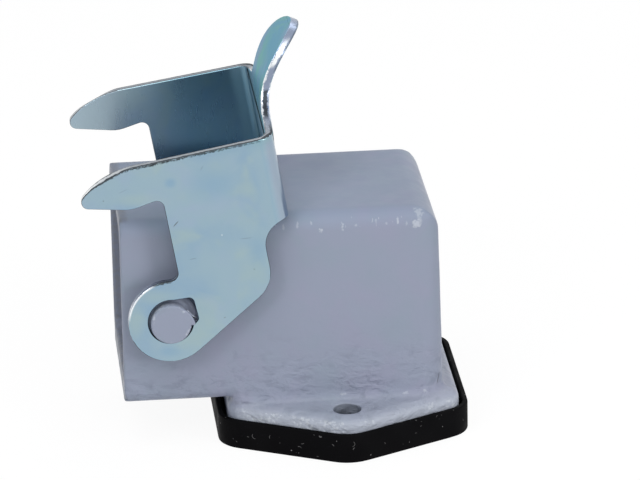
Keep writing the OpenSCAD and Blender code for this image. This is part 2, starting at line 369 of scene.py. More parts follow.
@dataclass(frozen=True)
class GreyCoat:
    """Baked grey paint on the casting, with the fine ripple of a sprayed coat."""

    name: str = "grey_coat"
    grey: Colour = (0.288, 0.319, 0.408)
    lilac: Colour = (0.297, 0.315, 0.412)
    teal: Colour = (0.277, 0.322, 0.400)
    shade: Colour = (0.215, 0.240, 0.312)
    hair: Colour = (0.075, 0.080, 0.095)
    grime_and_shade: Colour = (0.218, 0.230, 0.258)
    highlight_and_chip: Colour = (0.62, 0.66, 0.71)
    painted_light: Colour = (0.44, 0.475, 0.55)
    bore_shade: Colour = (0.160, 0.180, 0.225)
    top_light_tint: Colour = (0.955, 1.01, 1.04)
    rippled: Limits = (("height", 17.0, 3.0),)
    creased: Limits = (("height", 14.0, 7.5),)
    top: Limits = (("height", 26.6, 29.0),)
    brow: Limits = (
        ("height", 26.8, 27.3),
        ("height", 28.6, 28.2),
        ("width", 8.2, 9.4),
        ("along", -6.0, -4.0, 0.2, 1.0),
    )
    paler: Limits = (("along", -13.6, -11.4, 0.2, 1.0),)
    dense: Limits = (("along", 1.5, -0.5, -0.03, 0.08),)
    brink: Limits = (("height", 5.16, 4.7),)
    flecked: Limits = (("height", 5.0, 4.7),)
    lit_bands: tuple[Limits, ...] = ((("height", 6.0, 5.3, 0.0, 0.36),), (("height", 5.2, 4.4, 0.0, 0.75),))
    holes: Limits = (("off_hole", 1.78, 1.62),)
    mouth: Limits = (("along", -25.0, -25.8), ("width", 11.0, 10.4))
    peg_ring: Limits = (("off_peg", 1.95, 2.2), ("off_peg", 3.4, 3.0), ("width", 14.2, 14.6))
    bare_point: Mark = ((0.35, -18.0, 4.8), (1.3, 2.5, 2.0), 0.5)
    glints: tuple[Mark, ...] = (
        ((-6.94, -11.73, 27.62), (0.15, 0.8, 0.34), 0.55),
        ((-5.25, -11.70, 27.73), (0.18, 0.8, 0.46), 0.60),
        ((-2.45, -11.80, 27.09), (0.28, 0.8, 0.32), 0.95),
        ((0.09, -11.78, 27.37), (0.24, 0.8, 0.50), 0.95),
        ((1.68, -11.76, 27.49), (0.20, 0.8, 0.24), 0.50),
        ((4.08, -11.67, 27.80), (0.16, 0.8, 0.34), 0.45),
        ((5.36, -11.76, 27.51), (0.20, 0.8, 0.30), 0.55),
        ((6.70, -11.70, 27.74), (0.20, 0.8, 0.38), 0.90),
        ((7.74, -11.79, 27.29), (0.16, 0.8, 0.36), 0.45),
        ((8.94, -11.79, 27.34), (0.52, 0.8, 0.66), 0.90),
        ((9.21, -11.16, 28.56), (0.62, 0.9, 0.62), 0.62),
        ((9.24, -11.50, 27.95), (0.46, 0.9, 0.80), 0.42),
        ((-0.20, -11.95, 6.05), (0.34, 0.8, 0.22), 0.60),
        ((7.40, -11.95, 5.80), (0.40, 0.8, 0.22), 0.60),
        ((9.68, -11.95, 5.92), (0.34, 0.8, 0.22), 0.60),
    )
    hairs: tuple[Mark, ...] = (
        ((9.24, -14.8, 5.4), (0.07, 1.0, 0.6), 0.0),
        ((9.34, -16.5, 4.9), (0.09, 0.9, 0.9), 0.0),
        ((11.4, -10.4, 6.9), (0.07, 0.9, 1.0), -14.0),
    )

    def material(self) -> bpy.types.Material:
        """Builds the paint.

        Returns:
            The material.
        """
        bench = CastingBench(self.name)
        rippled = bench.times(bench.zone(self.rippled), bench.span(bench.noise(6), 0.30, 0.55))
        ripple = bench.noise(1.3, 3, 0.52, 0.4, bench.mapped((0.65, 0.65, 1.0)))
        creased = bench.times(bench.zone(self.creased), bench.span(bench.noise(4.2), 0.40, 0.60))
        crease = bench.noise(0.75, 2, 0.5, 0.8, bench.mapped((0.42, 0.42, 1.0)))
        colour = bench.coats(
            self.teal,
            (bench.span(bench.noise(9, 3), 0.35, 0.65), self.lilac),
            (bench.span(bench.noise(3.2, 3), 0.40, 0.62), self.grey),
            # Painted shade darkens the ripples and creases, over their bumps in the reliefs below.
            (bench.times(bench.span(ripple, 0.48, 0.28), rippled, 0.85), self.shade),
            (bench.times(bench.span(crease, 0.46, 0.32), creased, 0.48), self.shade),
        )
        # Painted light: a bluer tint on the top face from the light falling on it.
        colour = bench.blend(bench.zone(self.top), colour, self.top_light_tint, "MULTIPLY")
        # Painted light: paler bands along the block's foot and the flange's rounded edge, weaker at the
        # flange's left end.
        paler = bench.zone(self.paler)
        for lit_band in self.lit_bands:
            colour = bench.blend(bench.times(bench.zone(lit_band), paler), colour, self.painted_light)
        for centre, size, turn in self.hairs:
            colour = bench.blend(bench.spot(centre, size, turn), colour, self.hair)
        hole = bench.zone(self.holes)
        clump = bench.times(self.clumps(bench), paler, bench.without(hole))
        # Flecks of painted glint along the flange's rounded edge.
        fleck = bench.times(bench.span(bench.noise(0.34), 0.50, 0.58), clump, bench.zone(self.flecked))
        shiny = bench.most(self.dashes(bench), fleck)
        # Speckled grime mixed with painted shade, laid inside the mating mouth below.
        grime_and_shade = bench.blend(bench.span(bench.noise(0.45, 3, 0.6), 0.40, 0.60), self.grime_and_shade, self.shade)
        # Pale chips of the coat and painted glints round the peg ends.
        chips_and_glints = bench.times(bench.zone(self.peg_ring), bench.span(bench.noise(0.55), 0.56, 0.66))
        colour = bench.coats(
            colour,
            # Painted shade inside the fixing holes.
            (bench.times(hole, 0.9), self.bore_shade),
            # Painted highlights: dashes and glints along the top edge and the block's foot, and flecks on the
            # flange's edge.
            (bench.times(shiny, 0.55), self.highlight_and_chip),
            # Painted shade with speckled grime inside the mating mouth.
            (bench.times(bench.zone(self.mouth), 0.85), grime_and_shade),
            # Pale chips and painted glints round the peg ends.
            (bench.times(chips_and_glints, 0.45), self.highlight_and_chip),
        )
        brink = bench.times(bench.zone(self.brink), clump)
        reliefs = (
            (bench.noise(1.0, 1, 0.4), bench.span(brink, 0.0, 1.0, 0.05, 1.0), 0.26),
            (ripple, bench.span(rippled, 0.0, 1.0, 0.05, 1.0), 0.54),
            (crease, creased, 0.20),
        )
        normal = None
        for grain, mask, depth in reliefs:
            swell = bench.times(bench.maths("SUBTRACT", grain, 0.5), mask)
            normal = bench.bump(swell, depth, 0.9, normal)
        normal = bench.bump(bench.noise(0.3), 0.010, 0.6, normal)
        rough = bench.span(bench.noise(2.4, 3), 0.3, 0.7, 0.28, 0.40)
        rough = bench.maths("SUBTRACT", rough, bench.times(shiny, 0.24))
        return bench.finish(Base_Color=colour, Roughness=rough, Normal=normal, Specular_IOR_Level=0.09)

    def dashes(self, bench: CastingBench) -> Socket:
        """Marks the painted highlights: bright dashes along the top edge, and single glints.

        Args:
            bench: Bench of the material.

        Returns:
            The mask.
        """
        grain = bench.noise(0.36, 1, 0.4, 0.0, bench.mapped((1.0, 0.42, 0.42)))
        mask = bench.times(bench.span(grain, 0.71, 0.77, 0.0, 0.6), bench.zone(self.brow))
        broken = bench.span(bench.noise(0.34), 0.3, 0.7, -0.42, 0.42)
        for centre, size, share in self.glints:
            away = bench.maths("ADD", bench.length(bench.placed(centre, size)), broken)
            mask = bench.most(mask, bench.span(away, 1.0, 0.35, 0.0, share))
        return mask

    def clumps(self, bench: CastingBench) -> Socket:
        """Marks where flecks of painted glint, and the edge's bumps, crowd on the flange's edge, with a bare
        point between them.

        Args:
            bench: Bench of the material.

        Returns:
            The mask.
        """
        crowd = bench.maths("ADD", bench.noise(2.4), bench.zone(self.dense))
        centre, size, core = self.bare_point
        bare = bench.spot(centre, size, core=core)
        return bench.times(bench.span(crowd, 0.44, 0.58), bench.without(bare))


@dataclass(frozen=True)
class BlueZinc:
    """Blue-passivated zinc on rolled sheet."""

    name: str = "blue_zinc"
    blue: Colour = (0.266, 0.398, 0.526)
    pale: Colour = (0.320, 0.446, 0.520)
    lilac: Colour = (0.335, 0.430, 0.558)
    teal: Colour = (0.232, 0.428, 0.408)
    sky: Colour = (0.198, 0.368, 0.480)
    mint: Colour = (0.347, 0.464, 0.488)
    deep: Colour = (0.225, 0.375, 0.530)
    shade: Colour = (0.60, 0.77, 0.80)
    bent: Colour = (0.335, 0.405, 0.490)
    light: Colour = (0.400, 0.490, 0.545)
    bloom: Colour = (0.285, 0.365, 0.520)
    straw: Colour = (0.385, 0.390, 0.395)
    torn: Colour = (0.048, 0.058, 0.062)
    scratch: Colour = (0.130, 0.165, 0.170)
    speck: Colour = (0.90, 0.93, 0.94)
    rim: Colour = (1.0, 1.0, 1.0)
    fold: Limits = (("reach", 12.2, 14.2, 0.0, 0.8), ("reach", 15.2, 14.6))
    fold_line: Limits = (("reach", 14.35, 14.55, 0.0, 0.15), ("reach", 14.85, 14.65))
    fold_inside: Limits = (("reach", 12.6, 13.8, 0.09, 0.24),)
    web: Limits = (("reach", 14.6, 15.4, 0.0, 0.85),)
    flecked: Limits = (("rise", 13.0, 18.0),)
    hook: Limits = (("reach", 1.0, -2.0, 0.0, 0.6),)
    dusk: Limits = (("reach", 0.5, 8.5),)
    gleam: Limits = (
        ("off_pivot", 4.74, 4.92),
        ("reach", -0.7, -1.8),
        ("rise", 0.8, 2.2, 0.0, 0.85),
        ("rise", 7.0, 6.0),
    )
    burr_width: Limits = (("reach", -4.0, 0.5, 0.05, 0.27),)
    burr_end: Limits = (("reach", 15.0, 14.2),)
    eye_burr: Limits = (("reach", 1.2, 0.8), ("rise", 4.65, 4.9), ("rise", 9.0, 8.0))
    tab: Limits = (("height", 37.5, 42.0),)
    tab_far: Limits = (("across", 2.4, 4.8, 0.0, 0.55),)
    tab_tip: Limits = (("rise", 25.6, 28.6, 0.0, 0.15),)
    straw_spot: Mark = ((-6.2, 3.4, 44.2), (4.0, 1.5, 1.6), 0.5)
    pool_core: float = 0.1
    top_edge: float = 19.9
    crown: tuple[Spot, ...] = (
        (-0.5834, 0.8122, 18.358),
        (-0.3601, 0.9329, 19.215),
        (-0.3274, 0.9449, 19.267),
        (-0.2400, 0.9708, 19.588),
    )
    deep_pools: tuple[Mark, ...] = (
        ((-20.34, -14.80, 34.97), (1.05, 0.9, 0.95), 0.60),
        ((-15.40, -14.70, 34.60), (4.20, 0.9, 3.20), 0.45),
        ((-10.20, -14.53, 26.00), (1.70, 0.9, 3.00), 0.40),
        ((-21.00, -14.94, 13.90), (1.90, 0.9, 1.10), 0.45),
    )
    mint_pools: tuple[Mark, ...] = (
        ((-25.00, -14.95, 17.80), (1.60, 0.9, 3.40), 0.70),
        ((-22.40, -14.90, 20.80), (3.20, 0.9, 1.30), 0.60),
        ((-24.40, -15.00, 33.10), (4.20, 0.9, 1.20), 0.65),
    )
    scratches: tuple[Scratch, ...] = (
        ((-19.83, -14.81, 29.86), (0.52, 0.6, 0.075), 48.0, 0.85),
        ((-17.93, -14.77, 25.36), (0.50, 0.6, 0.050), 8.0, 0.40),
        ((-11.55, -14.56, 27.55), (0.85, 0.6, 0.060), 2.0, 0.30),
        ((-10.72, -14.56, 23.60), (0.07, 0.6, 0.090), 0.0, 0.80),
        ((-14.34, -14.70, 17.75), (0.12, 0.6, 0.060), 20.0, 0.70),
        ((-28.25, -15.05, 33.22), (0.11, 0.6, 0.110), 0.0, 0.50),
        ((-25.90, -15.00, 34.30), (0.80, 0.6, 0.035), 24.0, 0.30),
        ((-16.60, -14.70, 36.60), (0.40, 0.6, 0.040), 60.0, 0.45),
    )
    nick: Mark = ((-14.43, -14.65, 28.12), (0.11, 0.6, 0.13), 0.3)

    def material(self) -> bpy.types.Material:
        """Builds the plated face of the sheet.

        Returns:
            The material.
        """
        bench = LeverBench(self.name)
        fleck = bench.span(bench.noise(0.3), 0.64, 0.72, 0.0, 0.5)
        colour = bench.coats(
            self.plating(bench),
            (bench.times(bench.inner, fleck, bench.zone(self.flecked)), self.pale),
            # Painted reflection lightens the inner face at the hooks.
            (bench.times(bench.inner, bench.zone(self.hook)), self.light),
        )
        # Painted shade on the inner faces, deeper towards the web.
        dusk = bench.times(bench.inner, bench.zone(self.dusk))
        colour = bench.coats(
            bench.blend(dusk, colour, self.shade, "MULTIPLY"),
            (bench.times(self.burr(bench), bench.outer), self.torn),
            # Painted highlight along the eye's outer rim.
            (bench.times(bench.zone(self.gleam), bench.outer), self.speck),
            (bench.zone(self.tab), self.tab_sheen(bench)),
        )
        roll = bench.noise(0.5, 3, 0.6, 0.0, bench.mapped((1.0, 1.0, 0.12), (0.0, -LEAN, 0.0)))
        rough = bench.times(bench.inner, bench.zone(self.fold_inside))
        rough = bench.maths("ADD", bench.span(roll, 0.3, 0.7, 0.18, 0.21), rough)
        normal = bench.bump(bench.noise(0.6), 0.002, 0.3)
        return bench.finish(
            Base_Color=colour, Metallic=1.0, Roughness=rough, Normal=normal, Specular_Tint=(*self.rim, 1.0)
        )

    def plating(self, bench: LeverBench) -> Socket:
        """Lays the clouds of the plating, its change at the fold, its pools, the scratches and a nick.

        Args:
            bench: Bench of the material.

        Returns:
            The colour.
        """
        colour = bench.coats(
            self.blue,
            (bench.span(bench.noise(9.5, 3, 0.5, 1.0), 0.22, 0.64), self.pale),
            (bench.span(bench.noise(6.0, 3, 0.5, 0.8), 0.48, 0.85), self.lilac),
            (bench.span(bench.noise(4.5, 3, 0.5, 0.6), 0.50, 0.72, 0.0, 0.8), self.mint),
            (bench.zone(self.fold), self.pale),
            (bench.zone(self.fold_line), self.deep),
            (bench.zone(self.web), self.bent),
        )
        for tint, pools in ((self.deep, self.deep_pools), (self.mint, self.mint_pools)):
            for centre, size, share in pools:
                pool = bench.spot(centre, size, core=self.pool_core)
                colour = bench.blend(bench.times(pool, share), colour, tint)
        for centre, size, turn, share in self.scratches:
            colour = bench.blend(bench.times(bench.spot(centre, size, turn), share), colour, self.scratch)
        centre, size, share = self.nick
        return bench.blend(bench.times(bench.spot(centre, size), share), colour, self.speck)

    def burr(self, bench: LeverBench) -> Socket:
        """Marks the torn band that stamping left along the top edge and round the eye.

        Args:
            bench: Bench of the material.

        Returns:
            The mask.
        """
        jag = bench.span(bench.noise(0.34, 4, 0.75), 0.3, 0.7, -0.13, 0.13)
        edge = bench.past(bench.own, (0.0, 0.0, 1.0), self.top_edge)
        for lean, climb, level in self.crown:
            edge = bench.most(edge, bench.past(bench.own, (lean, 0.0, climb), level))
        width = bench.maths("ADD", jag, bench.zone(self.burr_width))
        band = bench.span(bench.maths("ADD", edge, width), -0.05, 0.06)
        ring = bench.span(bench.maths("ADD", bench.off_pivot, jag), 4.76, 4.90)
        ring = bench.times(ring, bench.zone(self.eye_burr))
        broken = bench.span(bench.noise(0.5, 4, 0.7), 0.36, 0.54, 0.35, 1.0)
        return bench.times(bench.most(bench.times(band, bench.zone(self.burr_end)), ring), broken)

    def tab_sheen(self, bench: LeverBench) -> Socket:
        """Lays the colours of the thumb tab.

        Args:
            bench: Bench of the material.

        Returns:
            The colour.
        """
        centre, size, share = self.straw_spot
        return bench.coats(
            self.teal,
            (bench.span(bench.noise(4.0, 3, 0.5, 0.8), 0.35, 0.65), self.sky),
            (bench.span(bench.noise(3.0, 2, 0.5, 0.8), 0.52, 0.68, 0.0, 0.7), self.bloom),
            (bench.most(bench.zone(self.tab_far), bench.zone(self.tab_tip)), self.bloom),
            (bench.times(bench.spot(centre, size, core=self.pool_core), share), self.straw),
        )


@dataclass(frozen=True)
class ShearedEdge:
    """Cut edge of the sheet: a torn dark band, painted highlights on a middle band and along the burr at its
    borders, and painted shade on the far plate's edges and at the tab's hem.
    """

    name: str = "sheared_edge"
    bright: Colour = (0.90, 0.93, 0.94)
    grey: Colour = (0.30, 0.335, 0.375)
    cool: Colour = (0.265, 0.315, 0.42)
    torn: Colour = (0.045, 0.055, 0.065)
    dusk: Colour = (0.115, 0.145, 0.190)
    far: Limits = (("across", 5.0, 7.0),)
    tear: Limits = (("ragged", 0.36, 0.18),)
    core: Limits = (("ragged", 0.26, 0.42), ("ragged", 0.90, 0.70))
    rim: Limits = (("ragged", 0.62, 0.82, 0.0, 0.72),)
    strip: Limits = (("rise", 25.0, 25.7), ("rise", 28.1, 27.0))
    border: Limits = (("ragged", 0.74, 0.86), ("rise", 26.4, 25.4))
    lower: Limits = (("ragged", 0.14, 0.04), ("rise", 24.9, 24.3, 0.0, 0.6))
    scuff: Limits = (
        ("rise", 20.4, 20.8),
        ("rise", 22.9, 22.5),
        ("ragged", 0.14, 0.26),
        ("ragged", 0.84, 0.70),
    )
    hem: Limits = (("depth", 0.30, 0.10), ("rise", 24.2, 25.0, 0.0, 0.85))

    def material(self) -> bpy.types.Material:
        """Builds the cut edge.

        Returns:
            The material.
        """
        bench = LeverBench(self.name)
        plain = bench.attribute("edge_tear")
        smooth = bench.without(plain)
        far = bench.times(bench.zone(self.far), plain)
        # Painted highlights on the cut edge and on a strip of the tab's edge, weak on the far plate.
        highlight = bench.most(bench.attribute("edge_highlight"), bench.times(bench.zone(self.strip), smooth))
        highlight = bench.times(highlight, bench.span(far, 0.0, 1.0, 1.0, 0.2), bench.zone(self.core))
        # Painted highlights along the borders of the tab's edge and round the eye.
        border = bench.most(bench.zone(self.border), bench.zone(self.lower))
        scuff = bench.times(bench.zone(self.scuff), smooth)
        band = bench.most(bench.times(bench.zone(self.tear), plain), scuff)
        colour = bench.coats(
            self.cool,
            (plain, self.grey),
            # Painted shade on the far plate's edges.
            (bench.times(far, 0.5), self.dusk),
            (highlight, self.bright),
            (bench.times(bench.zone(self.rim), plain), self.torn),
            (bench.times(border, smooth, 0.8), self.bright),
            (band, self.torn),
            # Painted shade along the outer border of the tab's upper edge.
            (bench.times(bench.zone(self.hem), smooth), self.dusk),
        )
        rough = bench.span(band, 0.0, 1.0, 0.25, 0.5)
        normal = bench.bump(bench.noise(0.2, 3, 0.6), 0.012, 0.4)
        return bench.finish(Base_Color=colour, Metallic=1.0, Roughness=rough, Normal=normal)


@dataclass(frozen=True)
class BlackRubber:
    """Moulded black rubber with dust on it."""

    name: str = "black_rubber"
    rubber: Colour = (0.0018, 0.0017, 0.0022)
    paler: Colour = (0.0034, 0.0033, 0.0039)
    dust: Colour = (0.26, 0.255, 0.255)

    def material(self) -> bpy.types.Material:
        """Builds the rubber.

        Returns:
            The material.
        """
        bench = NodeBench(self.name)
        specks = bench.span(bench.cells(0.75, bench.mapped((1.0, 1.0, 0.8))), 0.11, 0.05)
        specks = bench.times(specks, bench.span(bench.noise(1.5, 1), 0.48, 0.60))
        lint = bench.cells(1.6, bench.mapped((1.0, 1.0, 1.2), (20.0, 35.0, 10.0)))
        curl = bench.maths("ABSOLUTE", bench.maths("SUBTRACT", lint, 0.27))
        some = bench.span(bench.noise(0.7, 1), 0.62, 0.68, 0.0, 0.4)
        threads = bench.times(bench.span(curl, 0.026, 0.010), some)
        colour = bench.coats(
            self.rubber,
            (bench.span(bench.noise(4, 4), 0.4, 0.7), self.paler),
            (bench.most(specks, threads), self.dust),
        )
        normal = bench.bump(bench.noise(0.22, 3), 0.012, 0.4)
        rough = bench.span(bench.noise(2.0, 3), 0.3, 0.7, 0.55, 0.72)
        return bench.finish(Base_Color=colour, Roughness=rough, Normal=normal, Specular_IOR_Level=0.04)


@dataclass
class RefinedSolid:
    """A piece that starts from a solid of the frame."""

    node: Node
    body: Body
    slot: Slot
    title: str = ""

    def start(self) -> bmesh.types.BMesh:
        """Copies the solid and merges its triangles.

        Returns:
            The bmesh, in metres.
        """
        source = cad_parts[self.node.value]
        bm = bmesh.new()
        bm.from_mesh(source.data)
        bm.transform(source.matrix_world)
        bmesh.ops.remove_doubles(bm, verts=bm.verts, dist=SAME_POINT)
        bm.normal_update()
        return bm

    def settle(
        self, bm: bmesh.types.BMesh, materials: Sequence[bpy.types.Material], replaces: bool = True
    ) -> bpy.types.Object:
        """Makes the object and puts it on its body.

        Args:
            bm: Finished bmesh.
            materials: Materials in the order of the faces' indices.
            replaces: Whether the piece takes the place of its solid.

        Returns:
            The object.
        """
        name = self.title or self.node.value + "_dressed"
        mesh = bpy.data.meshes.new(name)
        for face in bm.faces:
            face.smooth = True
        bm.to_mesh(mesh)
        bm.free()
        for material in materials:
            mesh.materials.append(material)
        piece = bpy.data.objects.new(name, mesh)
        bpy.context.scene.collection.objects.link(piece)
        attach(piece, self.body.value)
        if replaces:
            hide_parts(self.node.value)
        return piece


@dataclass
class EdgedSolid(RefinedSolid):
    """A piece whose sharp edges get small rounds."""

    edge_round: float = 0.2
    segments: int = 4
    sharp_angle: float = 28.0
    flat_angle: float = 1.0
    corner_gap: float = 0.001
    face_weight: int = 80

    def join_flats(self, bm: bmesh.types.BMesh) -> None:
        """Joins the triangles of each flat face.

        Args:
            bm: Mesh to join.
        """
        angle = math.radians(self.flat_angle)
        bmesh.ops.dissolve_limit(bm, angle_limit=angle, verts=bm.verts, edges=bm.edges)
        bm.normal_update()

    def takes_round(self, middle: Vector) -> bool:
        """Tells whether a sharp edge with this middle gets a round."""
        return True

    def mark_edges(self, bm: bmesh.types.BMesh) -> None:
        """Marks each sharp edge that gets a round.

        Args:
            bm: Mesh to mark.
        """
        layer = bm.edges.layers.float.new("bevel_weight_edge")
        for edge in bm.edges:
            if len(edge.link_faces) == 2 and edge.calc_face_angle(0.0) > math.radians(self.sharp_angle):
                middle = (edge.verts[0].co + edge.verts[1].co) / (2 * MM)
                edge[layer] = float(self.takes_round(middle))

    def round_edges(self, piece: bpy.types.Object) -> bpy.types.Object:
        """Rounds the marked edges and keeps the flat faces flat to the light.

        Args:
            piece: Object with marked edges.

        Returns:
            The same object.
        """
        bevel = piece.modifiers.new("edge_rounds", "BEVEL")
        bevel.limit_method = "WEIGHT"
        bevel.width = self.edge_round * MM
        bevel.segments = self.segments
        bevel.use_clamp_overlap = False
        clean = piece.modifiers.new("clean_corners", "WELD")
        clean.merge_threshold = self.corner_gap * MM
        normals = piece.modifiers.new("flat_faces", "WEIGHTED_NORMAL")
        normals.weight = self.face_weight
        normals.keep_sharp = True
        return piece


@dataclass
class Housing(RefinedSolid):
    """Coated die casting: tube, block, flange and pegs."""

    node: Node = Node.HOUSING
    body: Body = Body.HOUSING
    slot: Slot = Slot.GREY_COAT
    flange_half: float = 14.0
    flange_point: float = 18.8
    flange_rise: float = 7.4
    flange_top: float = 5.4
    flange_round: float = 1.1
    round_steps: int = 4
    corner_cut: float = 0.65
    slack: float = 0.02
    peg_root: float = 13.6
    peg_reach: float = 4.0
    stub_length: float = 0.4
    stub_width: float = 0.8
    voxel: float = 0.2
    adaptivity: float = 0.02
    softness: float = 0.5
    passes: int = 10

    def on_flange_wall(self, face: bmesh.types.BMFace) -> bool:
        """Tells whether a face is part of the flange's upright outer side.

        Args:
            face: Face of the casting.

        Returns:
            True for a wall of the flange or of its rounded corners.
        """
        middle = face.calc_center_median() / MM
        lean = math.atan2(self.flange_rise, self.flange_half)
        slant = (abs(middle.x) * math.tan(lean) + abs(middle.y) - self.flange_point) * math.cos(lean)
        outside = max(abs(middle.x) - self.flange_half, slant)
        upright = abs(face.normal.z) < self.slack and face.normal.xy.dot(middle.xy) > 0
        if outside > self.slack or not upright:
            return False
        return outside > -self.slack or (outside > -self.corner_cut and middle.z < self.flange_top)

    def round_flange(self, bm: bmesh.types.BMesh) -> None:
        """Draws in the flange's upper edge in steps along a quarter round.

        Args:
            bm: Copy of the casting.
        """
        start = self.flange_top - self.flange_round
        for step in range(self.round_steps):
            level = (0.0, 0.0, (start + self.flange_round * step / self.round_steps) * MM)
            walls = [face for face in bm.faces if self.on_flange_wall(face)]
            edges = {edge for face in walls for edge in face.edges}
            verts = {vert for face in walls for vert in face.verts}
            geom = [*walls, *edges, *verts]
            bmesh.ops.bisect_plane(bm, geom=geom, dist=ON_PLANE, plane_co=level, plane_no=(0, 0, 1))
        bm.normal_update()
        moves = {}
        for vert in bm.verts:
            share = min(1.0, (vert.co.z / MM - start) / self.flange_round)
            normals = [face.normal for face in vert.link_faces if self.on_flange_wall(face)]
            if share * self.flange_round > self.slack / 2 and normals:
                inward = 1.0 - math.sqrt(max(0.0, 1.0 - share * share))
                moves[vert] = sum(normals, Vector()).normalized() * inward * self.flange_round * MM
        for vert, move in moves.items():
            vert.co -= move

    def thin_pegs(self, bm: bmesh.types.BMesh) -> None:
        """Draws the peg stubs in, so that the crisp peg ends cover them.

        Args:
            bm: Copy of the casting.
        """
        axis = Vector(PIVOT) * MM
        for vert in bm.verts:
            out = abs(vert.co.y) / MM
            spoke = Vector((vert.co.x - axis.x, 0.0, vert.co.z - axis.z))
            if out > self.peg_root and spoke.length < self.peg_reach * MM:
                side = math.copysign(self.peg_root + self.stub_length * (out - self.peg_root), vert.co.y)
                vert.co = axis + spoke * self.stub_width + Vector((0.0, side * MM, 0.0))

    def build(self) -> bpy.types.Object:
        """Builds and dresses the casting, with every edge softened as a mould and a coat leave it.

        Returns:
            The piece.
        """
        bm = self.start()
        self.round_flange(bm)
        self.thin_pegs(bm)
        piece = self.settle(bm, [GreyCoat().material()])
        skin = piece.modifiers.new("cast_skin", "REMESH")
        skin.mode = "VOXEL"
        skin.voxel_size = self.voxel * MM
        skin.adaptivity = self.adaptivity * MM
        skin.use_smooth_shade = True
        soft = piece.modifiers.new("soft_edges", "SMOOTH")
        soft.factor = self.softness
        soft.iterations = self.passes
        return piece


@dataclass
class PegEnds(EdgedSolid):
    """Ends of the two pivot pegs: crisper than the rest of the casting and low in the lifted lever's eyes."""

    node: Node = Node.HOUSING
    body: Body = Body.HOUSING
    slot: Slot = Slot.GREY_COAT
    title: str = "peg_ends"
    segments: int = 3
    root: float = 13.2
    root_margin: float = 0.1
    sag: float = 0.2
    lowest: float = 10.0
    slack: float = 0.001

    def takes_round(self, middle: Vector) -> bool:
        """Tells whether an edge lies clear of the root."""
        return abs(middle.y) > self.root + self.root_margin

    def build(self) -> bpy.types.Object:
        """Builds and dresses the peg ends.

        Returns:
            The piece.
        """
        bm = self.start()
        for side in (-1.0, 1.0):
            geom = [*bm.verts, *bm.edges, *bm.faces]
            root = (0.0, side * self.root * MM, 0.0)
            bmesh.ops.bisect_plane(bm, geom=geom, dist=ON_PLANE, plane_co=root, plane_no=(0, 1, 0))
        inner = (self.root - self.slack) * MM
        rest = [vert for vert in bm.verts if abs(vert.co.y) < inner or vert.co.z < self.lowest * MM]
        bmesh.ops.delete(bm, geom=rest, context="VERTS")
        bmesh.ops.translate(bm, verts=bm.verts, vec=(0.0, 0.0, -self.sag * MM))
        bmesh.ops.holes_fill(bm, edges=[edge for edge in bm.edges if edge.is_boundary])
        self.join_flats(bm)
        self.mark_edges(bm)
        coat = bpy.data.materials[GreyCoat.name]
        return self.round_edges(self.settle(bm, [coat], replaces=False))


